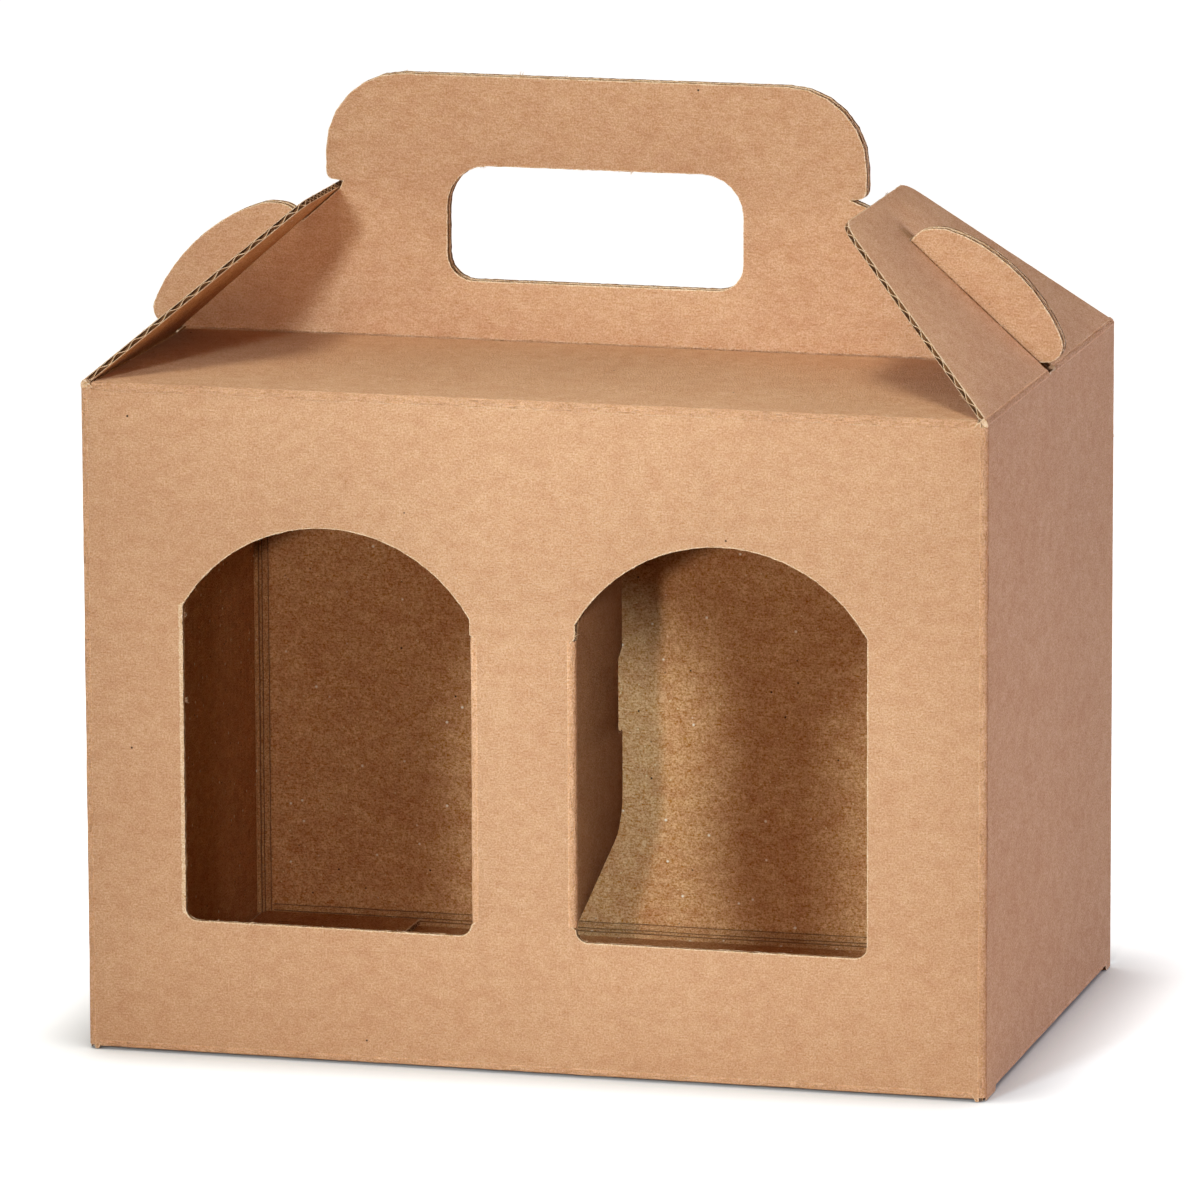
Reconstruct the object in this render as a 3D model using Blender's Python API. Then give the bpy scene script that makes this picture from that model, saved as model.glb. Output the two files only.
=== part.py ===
"""Gable-topped carry box of kraft E-flute board, drawn erected and locked.

One die-cut sheet makes the whole box. Each panel between two creases is its own solid here,
hinged to its neighbour along the crease. The frame stands on the floor at the middle of the
base: +X runs along the box's width, the window side faces -Y and +Z is up.
"""

import math

import bmesh
import bpy
from mathutils import Matrix, Vector

# Board and clearances
BOARD = 0.0016
FOLD_GAP = 0.0002
FIT_GAP = 0.0003

# Case
BODY_WIDTH = 0.240
BODY_DEPTH = 0.153
BODY_HEIGHT = 0.177
GLUE_FLAP_WIDTH = 0.030
GLUE_FLAP_TAPER = 0.006

# The windows, hand hole and grip stand this far off the case's middle along X
DIE_SHIFT = -0.0021

# Windows in the front, with straight sides under a low arch
WINDOW_WIDTH = 0.077
WINDOW_POST = 0.028
WINDOW_SILL = 0.036
WINDOW_SIDE = 0.0835
WINDOW_RISE = 0.022
WINDOW_CORNER = 0.0032

# Divider flaps, cut from the windows and folded inwards
DIVIDER_DEPTH = 0.048
DIVIDER_FOLD = 106
DIVIDER_KERF = 0.0004
DIVIDER_CREASE_STOP = 0.004
DIVIDER_SHOULDER = 0.006
DIVIDER_SLOPE = 19.6
DIVIDER_TOE = 0.012
DIVIDER_NOTCH_LOW = 0.046
DIVIDER_NOTCH_HIGH = 0.068
DIVIDER_NOTCH_DEPTH = 0.004
DIVIDER_NOTCH_RAMP = 0.0025

# Roof panels, which climb a little towards the handle
ROOF_RISE = 0.0018
ROOF_RELIEF = 0.0022
PLY_GAP = 0.0012

# Lock flaps, which lean inwards over the sloping shoulders of the handle
LOCK_TILT = 48.3
LOCK_LENGTH = 0.0634
LOCK_SIDE_SETBACK = 0.0005
LOCK_TOP_WIDTH = 0.067
LOCK_CORNER = 0.010
SLOT_END_ROOM = 0.0024
SLOT_SIDE_ROOM = 0.0013

# Handle panels with a grip, and an ear on each shoulder for the lock flaps' slots
GRIP_WIDTH = 0.146
GRIP_CLEARANCE = 0.0011
GRIP_HEIGHT = 0.0286
GRIP_CORNER = 0.021
GRIP_HEEL = 0.0022
NOTCH_DEPTH = 0.0046
NOTCH_LEAN = 0.0005
EAR_END = 0.0476
EAR_BULGE = 0.0130
EAR_RADIUS = 0.0496
EAR_LOW_ROUND = 0.0045
EAR_HIGH_ROUND = 0.0055
EAR_LIFT = 0.0004
HAND_HOLE_WIDTH = 0.080
HAND_HOLE_HEIGHT = 0.0306
HAND_HOLE_BAR = 0.0238
HAND_HOLE_TOP_ROUND = 0.011
HAND_HOLE_LOW_ROUND = 0.007

# Snap-lock base: hooks lie over the back panel, the front panel over the hooks
BASE_FOLD = 104
BASE_BACK_DEPTH = 0.084
BASE_BACK_END_ROOM = 0.0055
BASE_FRONT_DEPTH = 0.088
BASE_FRONT_END_ROOM = 0.0030
BASE_FRONT_RAMP = 0.012
BASE_SIDE_TAPER = 0.006
BASE_NOTCH_WIDTH = 0.104
BASE_NOTCH_ROOM = 0.0006
BASE_TONGUE_CLEARANCE = 0.004
BASE_TONGUE_RUN = 0.018
BASE_TONGUE_TIP = 0.016
HOOK_LENGTH = 0.048
HOOK_NOSE = 0.062
HOOK_NOSE_WIDTH = 0.028
HOOK_END_ROOM = 0.005
HOOK_RAMP = 0.0045

SHALLOW_TURN = math.sin(math.radians(20))
ARC_STEPS = 6
ARCH_STEPS = 28
EAR_STEPS = 12

KRAFT_OUTSIDE = (0.62, 0.41, 0.25)
KRAFT_INSIDE = (0.38, 0.24, 0.13)
KRAFT_SIDE = (0.46, 0.29, 0.20)


def clear_scene():
    for item in list(bpy.data.objects):
        bpy.data.objects.remove(item, do_unlink=True)


def kraft(name, colour):
    """A matt paper finish of its own for one sub-part."""
    material = bpy.data.materials.new(name + "_kraft")
    material.use_nodes = True
    shader = material.node_tree.nodes["Principled BSDF"]
    shader.inputs["Base Color"].default_value = (*colour, 1.0)
    shader.inputs["Roughness"].default_value = 0.85
    shader.inputs["Metallic"].default_value = 0.0
    return material


# Outlines
# A corner is (x, y, radius). An outline is a list of ((x, y), (outer, inner)): a point and how far
# the edge that starts there is set back on the board's outer and inner skin.

CUT = (0.0, 0.0)


def fold_outside(angle):
    """Setbacks of an edge whose crease turns on the outer skin, mitred for that many degrees."""
    return (FOLD_GAP, FOLD_GAP + BOARD * math.tan(math.radians(angle) / 2))


def fold_inside(angle):
    """The same for a crease that turns on the inner skin."""
    outer, inner = fold_outside(angle)
    return (inner, outer)


def corner(x, y, radius=0.0, edge=CUT):
    return (Vector((x, y)), radius, edge)


def rounded(corners, steps=ARC_STEPS):
    """The outline through the corners, each rounded by its own radius."""
    outline = []
    count = len(corners)
    for index, (point, radius, edge) in enumerate(corners):
        if radius <= 0:
            outline.append((point, edge))
            continue
        before = (corners[index - 1][0] - point).normalized()
        after = (corners[(index + 1) % count][0] - point).normalized()
        half = before.angle(after) / 2
        reach = radius / math.tan(half)
        centre = point + (before + after).normalized() * (radius / math.sin(half))
        first = point + before * reach - centre
        last = point + after * reach - centre
        turn = first.angle_signed(last)
        for step in range(steps + 1):
            spot = first.copy()
            spot.rotate(Matrix.Rotation(-turn * step / steps, 2))
            outline.append((centre + spot, edge if step == steps else CUT))
    return outline


def mirrored(outline):
    """The outline turned over left to right, still running the same way round."""
    points = [Vector((-point.x, point.y)) for point, _ in outline]
    edges = [edge for _, edge in outline]
    return list(zip(reversed(points), reversed(edges[-1:] + edges[:-1])))


def set_back(outline, skin, side):
    """The outline's points on one skin. side is 1 where board lies inside it, -1 for a hole."""
    points = []
    count = len(outline)
    for index, (point, edge) in enumerate(outline):
        before, edge_before = outline[index - 1]
        after = outline[(index + 1) % count][0]
        first = (point - before).normalized()
        second = (after - point).normalized()
        first_normal = Vector((-first.y, first.x)) * side
        second_normal = Vector((-second.y, second.x)) * side
        first_shift = edge_before[skin]
        second_shift = edge[skin]
        across = first.x * second.y - first.y * second.x
        if abs(across) < SHALLOW_TURN:
            points.append(point + first_normal * first_shift)
            if edge != edge_before:
                points.append(point + second_normal * second_shift)
            continue
        gap = second_normal * second_shift - first_normal * first_shift
        along = (gap.x * second.y - gap.y * second.x) / across
        points.append(point + first_normal * first_shift + first * along)
    return points


def board(name, colour, place, outline, holes=(), turns_on_inner_skin=False):
    """A piece of board. Its own X and Y lie in the outer skin and Z points out of it."""
    levels = (BOARD, 0.0) if turns_on_inner_skin else (0.0, -BOARD)
    mesh = bmesh.new()
    rings = [(outline, 1)] + [(hole, -1) for hole in holes]
    skins = []
    for skin, level in enumerate(levels):
        loops = []
        edges = []
        for ring, side in rings:
            points = set_back(ring, skin, side)
            verts = [mesh.verts.new((p.x, p.y, level)) for p in points]
            for first, second in zip(verts, verts[1:] + verts[:1]):
                edges.append(mesh.edges.new((first, second)))
            loops.append(verts)
        bmesh.ops.triangle_fill(mesh, edges=edges, use_beauty=True, use_dissolve=False)
        skins.append(loops)
    for outer_loop, inner_loop in zip(*skins):
        count = len(outer_loop)
        for index in range(count):
            following = (index + 1) % count
            mesh.faces.new(
                (outer_loop[index], outer_loop[following], inner_loop[following], inner_loop[index])
            )
    bmesh.ops.recalc_face_normals(mesh, faces=mesh.faces)
    data = bpy.data.meshes.new(name)
    mesh.to_mesh(data)
    mesh.free()
    data.materials.append(kraft(name, colour))
    piece = bpy.data.objects.new(name, data)
    bpy.context.scene.collection.objects.link(piece)
    piece.matrix_world = place
    return piece


def placed(origin, along, up):
    """A frame at origin whose X runs along, whose Y runs up the panel and whose Z points out."""
    along = Vector(along).normalized()
    up = Vector(up).normalized()
    out = along.cross(up)
    frame = Matrix((along, up, out)).transposed().to_4x4()
    frame.translation = Vector(origin)
    return frame


def hang(child, parent):
    """Parents child where it stands."""
    bpy.context.view_layer.update()
    child.parent = parent
    child.matrix_parent_inverse = parent.matrix_world.inverted()


# Shared places
HALF_WIDTH = BODY_WIDTH / 2
HALF_DEPTH = BODY_DEPTH / 2
LAYER = BOARD + FIT_GAP
TILT = math.radians(LOCK_TILT)
HANDLE_FACE = PLY_GAP / 2 + BOARD
ROOF_SLOPE = math.atan2(ROOF_RISE, HALF_DEPTH - HANDLE_FACE)
ROOF_FOLD = 90 - math.degrees(ROOF_SLOPE)
ROOF_RUN = (HALF_DEPTH - PLY_GAP / 2) / math.cos(ROOF_SLOPE)
HANDLE_TURN = BODY_HEIGHT + (HALF_DEPTH - PLY_GAP / 2) * math.tan(ROOF_SLOPE) - BOARD / math.cos(ROOF_SLOPE)
HANDLE_FOOT = BODY_HEIGHT + ROOF_RISE
FLAP_UNDER = -LAYER


def flap_point(up, out):
    """(x, z) of a point up the right lock flap from its crease and out of its outer skin."""
    return Vector(
        (
            HALF_WIDTH - up * math.sin(TILT) + out * math.cos(TILT),
            BODY_HEIGHT + up * math.cos(TILT) + out * math.sin(TILT),
        )
    )


def under_flap(height):
    """How far out a board may reach at that height and still pass under the right lock flap."""
    low = flap_point(0, FLAP_UNDER)
    return low.x - (height - low.y) * math.tan(TILT)


# Case
def window(side):
    """A window's outline. side is 1 for the right one and -1 for the left one."""
    crease = WINDOW_POST / 2
    far = crease + WINDOW_WIDTH
    spring = WINDOW_SILL + WINDOW_SIDE
    radius = ((WINDOW_WIDTH / 2) ** 2 + WINDOW_RISE**2) / (2 * WINDOW_RISE)
    centre = Vector((crease + WINDOW_WIDTH / 2, spring + WINDOW_RISE - radius))
    sweep = math.asin(WINDOW_WIDTH / 2 / radius)
    corners = [
        corner(crease, WINDOW_SILL, WINDOW_CORNER),
        corner(far, WINDOW_SILL, WINDOW_CORNER),
    ]
    for step in range(ARCH_STEPS):
        angle = math.pi / 2 - sweep + 2 * sweep * step / ARCH_STEPS
        corners.append(corner(centre.x + radius * math.cos(angle), centre.y + radius * math.sin(angle)))
    corners.append(corner(crease, spring))
    corners.append(corner(crease, spring - DIVIDER_CREASE_STOP, 0, fold_outside(DIVIDER_FOLD)))
    outline = rounded(corners)
    if side < 0:
        outline = mirrored(outline)
    return [(point + Vector((DIE_SHIFT, 0)), edge) for point, edge in outline]


def wall(name, colour, place, half, top_fold, holes=()):
    """A wall, creased to its neighbours down both sides and to a base panel along its foot."""
    square = fold_outside(90)
    outline = rounded(
        [
            corner(-half, 0, 0, square),
            corner(half, 0, 0, square),
            corner(half, BODY_HEIGHT, 0, top_fold),
            corner(-half, BODY_HEIGHT, 0, square),
        ]
    )
    board(name, colour, place, outline, holes)


def build_case():
    roof_fold = fold_outside(ROOF_FOLD)
    lock_fold = fold_outside(LOCK_TILT)
    front = placed((0, -HALF_DEPTH, 0), (1, 0, 0), (0, 0, 1))
    back = placed((0, HALF_DEPTH, 0), (-1, 0, 0), (0, 0, 1))
    left = placed((-HALF_WIDTH, 0, 0), (0, -1, 0), (0, 0, 1))
    right = placed((HALF_WIDTH, 0, 0), (0, 1, 0), (0, 0, 1))
    windows = (window(-1), window(1))
    wall("front_panel", KRAFT_OUTSIDE, front, HALF_WIDTH, roof_fold, windows)
    wall("back_panel", KRAFT_OUTSIDE, back, HALF_WIDTH, roof_fold)
    wall("left_side_panel", KRAFT_SIDE, left, HALF_DEPTH, lock_fold)
    wall("right_side_panel", KRAFT_SIDE, right, HALF_DEPTH, lock_fold)


def build_glue_flap():
    """The strip that turns in from the back panel and is glued inside the right side panel."""
    skin = HALF_WIDTH - BOARD - FIT_GAP
    inside = HALF_DEPTH - BOARD - FIT_GAP
    low = 2 * LAYER + FIT_GAP
    high = BODY_HEIGHT - BOARD - 2 * FIT_GAP
    far = -GLUE_FLAP_WIDTH
    outline = rounded(
        [
            corner(far, low + GLUE_FLAP_TAPER),
            corner(0, low),
            corner(0, high),
            corner(far, high - GLUE_FLAP_TAPER),
        ]
    )
    place = placed((skin, inside, 0), (0, 1, 0), (0, 0, 1))
    board("glue_flap", KRAFT_INSIDE, place, outline)


# Dividers
def build_divider(name, side):
    """A window's cut-out, still hinged at the post and folded straight inwards."""
    spring = WINDOW_SILL + WINDOW_SIDE
    radius = ((WINDOW_WIDTH / 2) ** 2 + WINDOW_RISE**2) / (2 * WINDOW_RISE)
    middle = WINDOW_WIDTH / 2
    centre_height = spring + WINDOW_RISE - radius
    inner_radius = radius - DIVIDER_KERF
    low = WINDOW_SILL + WINDOW_CORNER + DIVIDER_KERF
    high = spring - DIVIDER_CREASE_STOP - DIVIDER_KERF
    crease = fold_outside(DIVIDER_FOLD)
    neck = crease[1] + FIT_GAP
    slope = math.tan(math.radians(DIVIDER_SLOPE))
    toe = low + DIVIDER_DEPTH * slope
    notch_low = WINDOW_SILL + DIVIDER_NOTCH_LOW
    notch_high = WINDOW_SILL + DIVIDER_NOTCH_HIGH
    notch_floor = DIVIDER_DEPTH - DIVIDER_NOTCH_DEPTH
    corners = [
        corner(0, low),
        corner(DIVIDER_DEPTH, toe, DIVIDER_TOE),
        corner(DIVIDER_DEPTH, notch_low),
        corner(notch_floor, notch_low),
        corner(notch_floor, notch_high - DIVIDER_NOTCH_RAMP),
        corner(DIVIDER_DEPTH, notch_high),
    ]
    start = math.acos((DIVIDER_DEPTH - middle) / inner_radius)
    end = math.acos((DIVIDER_SHOULDER - middle) / inner_radius)
    for step in range(ARCH_STEPS // 2 + 1):
        angle = start + (end - start) * step / (ARCH_STEPS // 2)
        reach = middle + inner_radius * math.cos(angle)
        corners.append(corner(reach, centre_height + inner_radius * math.sin(angle)))
    corners.append(corner(neck, high))
    corners.append(corner(0, high, 0, crease))
    outline = rounded(corners)
    if side < 0:
        outline = mirrored(outline)
    crease_x = side * WINDOW_POST / 2 + DIE_SHIFT
    place = placed((crease_x, -HALF_DEPTH, 0), (0, side, 0), (0, 0, 1))
    board(name, KRAFT_OUTSIDE, place, outline)


# Top
def build_lock_flap(name, side):
    """A lock flap. Its slot starts at the crease and runs up to just past the handle's ears."""
    base = HALF_DEPTH - LOCK_SIDE_SETBACK
    top = LOCK_TOP_WIDTH / 2
    slot = HANDLE_FACE + SLOT_SIDE_ROOM
    slot_end = EAR_END + SLOT_END_ROOM
    crease = fold_outside(LOCK_TILT)
    outline = rounded(
        [
            corner(-base, 0, 0, crease),
            corner(-slot, 0),
            corner(-slot, slot_end, BOARD / 2),
            corner(slot, slot_end, BOARD / 2),
            corner(slot, 0, 0, crease),
            corner(base, 0),
            corner(top, LOCK_LENGTH, LOCK_CORNER),
            corner(-top, LOCK_LENGTH, LOCK_CORNER),
        ]
    )
    up = (-side * math.sin(TILT), 0, math.cos(TILT))
    place = placed((side * HALF_WIDTH, 0, BODY_HEIGHT), (0, side, 0), up)
    board(name, KRAFT_SIDE, place, outline)


def build_roof(name, side):
    """A roof panel. side is -1 for the front one and 1 for the back one."""
    front_half = under_flap(BODY_HEIGHT)
    handle_half = under_flap(HANDLE_FOOT) - ROOF_RELIEF / 2
    outline = rounded(
        [
            corner(-front_half, 0, 0, fold_outside(ROOF_FOLD)),
            corner(front_half, 0),
            corner(handle_half, ROOF_RUN, 0, fold_inside(ROOF_FOLD)),
            corner(-handle_half, ROOF_RUN),
        ]
    )
    up = (0, -side * math.cos(ROOF_SLOPE), math.sin(ROOF_SLOPE))
    place = placed((0, side * HALF_DEPTH, BODY_HEIGHT), (-side, 0, 0), up)
    return board(name, KRAFT_OUTSIDE, place, outline)


def handle_half(shift):
    """Corners of a handle's half from its foot to its grip, with the grip's end moved outwards."""
    foot = under_flap(HANDLE_FOOT) - ROOF_RELIEF / 2
    ear_low = HANDLE_FOOT + EAR_LIFT
    middle_up = EAR_END / 2 + BOARD / 2
    ear_centre = flap_point(middle_up, EAR_BULGE - EAR_RADIUS)
    low_reach = math.sqrt(EAR_RADIUS**2 - (ear_low - ear_centre.y) ** 2)
    low_end = Vector((ear_centre.x + low_reach, ear_low))
    high_out = EAR_BULGE - EAR_RADIUS + math.sqrt(EAR_RADIUS**2 - (EAR_END - middle_up) ** 2)
    high_end = flap_point(EAR_END, high_out)
    corners = [
        corner(foot, HANDLE_TURN),
        corner(foot, ear_low),
        corner(low_end.x, low_end.y, EAR_LOW_ROUND),
    ]
    low_angle = math.atan2(low_end.y - ear_centre.y, low_end.x - ear_centre.x)
    high_angle = math.atan2(high_end.y - ear_centre.y, high_end.x - ear_centre.x)
    for step in range(2, EAR_STEPS - 1):
        angle = low_angle + (high_angle - low_angle) * step / EAR_STEPS
        corners.append(
            corner(
                ear_centre.x + EAR_RADIUS * math.cos(angle),
                ear_centre.y + EAR_RADIUS * math.sin(angle),
            )
        )
    corners.append(corner(high_end.x, high_end.y, EAR_HIGH_ROUND))
    neck = flap_point(EAR_END, FLAP_UNDER)
    corners.append(corner(neck.x, neck.y))
    flap_top = flap_point(LOCK_LENGTH, 0)
    lip = flap_point(LOCK_LENGTH, FLAP_UNDER)
    heel = flap_top.y + GRIP_CLEARANCE
    grip = GRIP_WIDTH / 2 + shift
    corners.append(corner(lip.x, lip.y))
    corners.append(corner(grip - NOTCH_DEPTH, heel - NOTCH_LEAN))
    corners.append(corner(grip, heel, GRIP_HEEL))
    corners.append(corner(grip, heel + GRIP_HEIGHT, GRIP_CORNER))
    return corners


def hand_hole(top, shift):
    half = HAND_HOLE_WIDTH / 2
    high = top - HAND_HOLE_BAR
    low = high - HAND_HOLE_HEIGHT
    return rounded(
        [
            corner(shift - half, low, HAND_HOLE_LOW_ROUND),
            corner(shift + half, low, HAND_HOLE_LOW_ROUND),
            corner(shift + half, high, HAND_HOLE_TOP_ROUND),
            corner(shift - half, high, HAND_HOLE_TOP_ROUND),
        ]
    )


def build_handle(name, side, roof):
    """A handle panel, folded up from its roof panel. side is -1 for the front one."""
    shift = -side * DIE_SHIFT
    right = handle_half(shift)
    left = [(Vector((-point.x, point.y)), radius, edge) for point, radius, edge in handle_half(-shift)]
    foot, radius, _ = left[0]
    left[0] = (foot, radius, fold_inside(ROOF_FOLD))
    raised = [(p - Vector((0, HANDLE_TURN)), r, edge) for p, r, edge in right + left[::-1]]
    outline = rounded(raised)
    top = max(point.y for point, _ in outline)
    place = placed((0, side * PLY_GAP / 2, HANDLE_TURN), (-side, 0, 0), (0, 0, 1))
    hole = hand_hole(top, shift)
    handle = board(name, KRAFT_OUTSIDE, place, outline, [hole], turns_on_inner_skin=True)
    hang(handle, roof)


# Base
def bend(piece, stations):
    """Lifts the board towards the box's inside. stations are (distance up the board, lift)."""
    mesh = bmesh.new()
    mesh.from_mesh(piece.data)
    for reach, _ in stations[1:-1]:
        geometry = mesh.verts[:] + mesh.edges[:] + mesh.faces[:]
        bmesh.ops.bisect_plane(mesh, geom=geometry, plane_co=(0, reach, 0), plane_no=(0, 1, 0))
    for vert in mesh.verts:
        reach = vert.co.y
        for (start, low), (stop, high) in zip(stations, stations[1:]):
            if start <= reach < stop:
                vert.co.z -= low + (high - low) * (reach - start) / (stop - start)
    mesh.to_mesh(piece.data)
    mesh.free()


def build_back_base():
    """The outer base panel. Its tongue climbs through the front panel's notch and lies on it."""
    half = HALF_WIDTH - BASE_BACK_END_ROOM
    tongue = BASE_NOTCH_WIDTH / 2 - BASE_TONGUE_CLEARANCE
    ramp_end = BASE_BACK_DEPTH + BASE_TONGUE_RUN
    reach = ramp_end + BASE_TONGUE_TIP
    outline = rounded(
        [
            corner(-half, 0, 0, fold_outside(90)),
            corner(half, 0),
            corner(half - BASE_SIDE_TAPER, BASE_BACK_DEPTH, BASE_SIDE_TAPER),
            corner(tongue, BASE_BACK_DEPTH),
            corner(tongue - BASE_SIDE_TAPER, reach, BASE_SIDE_TAPER),
            corner(-(tongue - BASE_SIDE_TAPER), reach, BASE_SIDE_TAPER),
            corner(-tongue, BASE_BACK_DEPTH),
            corner(-(half - BASE_SIDE_TAPER), BASE_BACK_DEPTH, BASE_SIDE_TAPER),
        ]
    )
    place = placed((0, HALF_DEPTH, 0), (1, 0, 0), (0, -1, 0))
    panel = board("back_base_panel", KRAFT_OUTSIDE, place, outline)
    climb = 3 * LAYER
    bend(panel, [(0, 0), (BASE_BACK_DEPTH, 0), (ramp_end, climb), (reach + LAYER, climb)])


def build_front_base():
    """The innermost base panel. It climbs over the hooks, and its notch takes the tongue."""
    half = HALF_WIDTH - BASE_FRONT_END_ROOM
    notch = BASE_NOTCH_WIDTH / 2
    tongue_top = BODY_DEPTH - BASE_BACK_DEPTH - BASE_TONGUE_RUN
    floor = tongue_top - BASE_NOTCH_ROOM
    outline = rounded(
        [
            corner(-half, 0, 0, fold_outside(BASE_FOLD)),
            corner(half, 0),
            corner(half - BASE_SIDE_TAPER, BASE_FRONT_DEPTH, BASE_SIDE_TAPER),
            corner(notch, BASE_FRONT_DEPTH, BASE_SIDE_TAPER / 2),
            corner(notch, floor, BASE_SIDE_TAPER / 2),
            corner(-notch, floor, BASE_SIDE_TAPER / 2),
            corner(-notch, BASE_FRONT_DEPTH, BASE_SIDE_TAPER / 2),
            corner(-(half - BASE_SIDE_TAPER), BASE_FRONT_DEPTH, BASE_SIDE_TAPER),
        ]
    )
    place = placed((0, -HALF_DEPTH, 0), (-1, 0, 0), (0, 1, 0))
    panel = board("front_base_panel", KRAFT_OUTSIDE, place, outline)
    climb = 2 * LAYER
    bend(panel, [(0, 0), (BASE_FRONT_RAMP, climb), (BASE_FRONT_DEPTH + LAYER, climb)])


def build_hook(name, side):
    """A base hook. Its nose reaches under the front panel and its heel lies on the back panel."""
    heel = HALF_DEPTH - HOOK_END_ROOM
    toe = HALF_DEPTH - BASE_FRONT_RAMP - FIT_GAP
    slant = HOOK_NOSE - HOOK_LENGTH
    outline = rounded(
        [
            corner(-heel, 0, 0, fold_outside(BASE_FOLD)),
            corner(toe, 0),
            corner(toe, HOOK_LENGTH / 2),
            corner(slant + HOOK_NOSE_WIDTH, HOOK_NOSE, slant / 4),
            corner(slant, HOOK_NOSE, slant / 4),
            corner(0, HOOK_LENGTH),
            corner(-heel, HOOK_LENGTH),
        ]
    )
    if side < 0:
        outline = mirrored(outline)
    place = placed((side * HALF_WIDTH, 0, 0), (0, -side, 0), (-side, 0, 0))
    hook = board(name, KRAFT_INSIDE, place, outline)
    bend(hook, [(0, 0), (HOOK_RAMP, LAYER), (HOOK_NOSE + LAYER, LAYER)])


def build():
    clear_scene()
    build_case()
    build_glue_flap()
    build_front_base()
    build_back_base()
    build_hook("left_base_hook", -1)
    build_hook("right_base_hook", 1)
    build_divider("left_divider_flap", -1)
    build_divider("right_divider_flap", 1)
    build_lock_flap("left_lock_flap", -1)
    build_lock_flap("right_lock_flap", 1)
    for word, side in (("front", -1), ("back", 1)):
        roof = build_roof(word + "_roof_panel", side)
        build_handle(word + "_handle_panel", side, roof)


build()
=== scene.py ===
# %% [markdown]
# # A gable carry box in kraft corrugated board
# The real box is one sheet of E-flute board: a smooth kraft liner outside, a darker recycled liner
# inside and a thin fluted sheet between them. It is die-cut, creased, glued at one corner and folded.
# This lesson starts from the box's plain panels, which stay where they are, and makes the board that
# a camera sees: cut edges that show the flutes, rounded folds with stretched paper, and the fibres,
# specks and nicks of brown kraft.

# %% Load the fixed model and keep its box
import math
import random

import bmesh
import bpy
from mathutils import Matrix, Vector, noise
from mathutils.bvhtree import BVHTree


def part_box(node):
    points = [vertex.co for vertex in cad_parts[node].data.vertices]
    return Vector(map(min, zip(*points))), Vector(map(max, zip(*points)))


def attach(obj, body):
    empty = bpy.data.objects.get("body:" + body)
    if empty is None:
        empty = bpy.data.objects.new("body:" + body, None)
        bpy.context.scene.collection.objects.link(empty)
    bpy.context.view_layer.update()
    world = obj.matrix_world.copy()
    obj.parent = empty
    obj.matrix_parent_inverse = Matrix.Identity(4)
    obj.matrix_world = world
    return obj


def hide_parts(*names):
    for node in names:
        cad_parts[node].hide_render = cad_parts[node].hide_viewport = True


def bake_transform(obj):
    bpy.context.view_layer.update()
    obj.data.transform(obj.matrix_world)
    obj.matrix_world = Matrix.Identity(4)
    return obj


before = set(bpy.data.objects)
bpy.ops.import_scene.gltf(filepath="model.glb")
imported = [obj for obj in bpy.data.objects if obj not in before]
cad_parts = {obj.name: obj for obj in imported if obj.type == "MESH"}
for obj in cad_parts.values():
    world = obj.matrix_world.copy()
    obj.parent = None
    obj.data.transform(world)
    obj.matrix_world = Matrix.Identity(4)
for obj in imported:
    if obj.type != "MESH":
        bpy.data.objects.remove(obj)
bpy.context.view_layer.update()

# %% [markdown]
# ## The camera
# The photograph was taken with a long lens from the front, to the right and a little above. A long
# lens keeps upright edges nearly parallel. The aim is a point in the middle of the box, and the small
# roll is the photographer's own.

# %% Camera
CAMERA_PLACE = Vector((0.6910, -2.6050, 0.6613))
CAMERA_AIM = Vector((-0.00134, -0.00117, 0.11047))
CAMERA_ROLL = math.radians(0.2294)
LENS_MM = 313.35
SENSOR_MM = 36.0
CLIP_END = 20


def place_camera():
    lens = bpy.data.cameras.new("camera")
    lens.lens = LENS_MM
    lens.sensor_width = SENSOR_MM
    lens.clip_end = CLIP_END
    camera = bpy.data.objects.new("camera", lens)
    bpy.context.scene.collection.objects.link(camera)
    turn = (CAMERA_AIM - CAMERA_PLACE).to_track_quat("-Z", "Y").to_matrix()
    camera.matrix_world = (turn @ Matrix.Rotation(-CAMERA_ROLL, 3, "Z")).to_4x4()
    camera.location = CAMERA_PLACE
    bpy.context.scene.camera = camera
    print("camera", round((CAMERA_AIM - CAMERA_PLACE).length, 3), "m from its aim")


place_camera()

# %% [markdown]
# ## Nodes and colours
# Blender's shaders work in linear light, while a colour picker gives sRGB. One function turns a hex
# colour into linear values, and one adds any node with its settings and links, so that each material
# below reads as a list of steps.

# %% Helpers for materials


def linear(hex_colour):
    """Linear RGBA of an sRGB hex colour such as C8986F."""
    values = []
    for start in (0, 2, 4):
        part = int(hex_colour[start : start + 2], 16) / 255
        values.append(part / 12.92 if part <= 0.04045 else ((part + 0.055) / 1.055) ** 2.4)
    return (*values, 1.0)


def add(tree, kind, settings=None, **links):
    """Adds a node. settings are its properties. links are input names, each with a value, a socket or a
    node, which stands for its first output."""
    made = tree.nodes.new(kind)
    for key, value in (settings or {}).items():
        setattr(made, key, value)
    for key, value in links.items():
        name = key.replace("_", " ")
        socket = made.inputs[int(name[1:])] if name[0] == "i" and name[1:].isdigit() else made.inputs[name]
        if isinstance(value, bpy.types.Node):
            value = value.outputs[0]
        if isinstance(value, bpy.types.NodeSocket):
            tree.links.new(value, socket)
        else:
            socket.default_value = value
    return made


# %% [markdown]
# ## Floor and background
# The box stands on white. A floor that is bright enough to look white would also light the box from
# below and wash its colours out. So the floor glows for the camera alone, less near the box, where its
# shadow has to show, and ambient occlusion darkens the narrow line of contact. All other rays meet a
# plain floor in a warmer tone. The world is white for the camera and for reflections, and otherwise
# stands for the dim light that comes back from a warm room.

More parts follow.
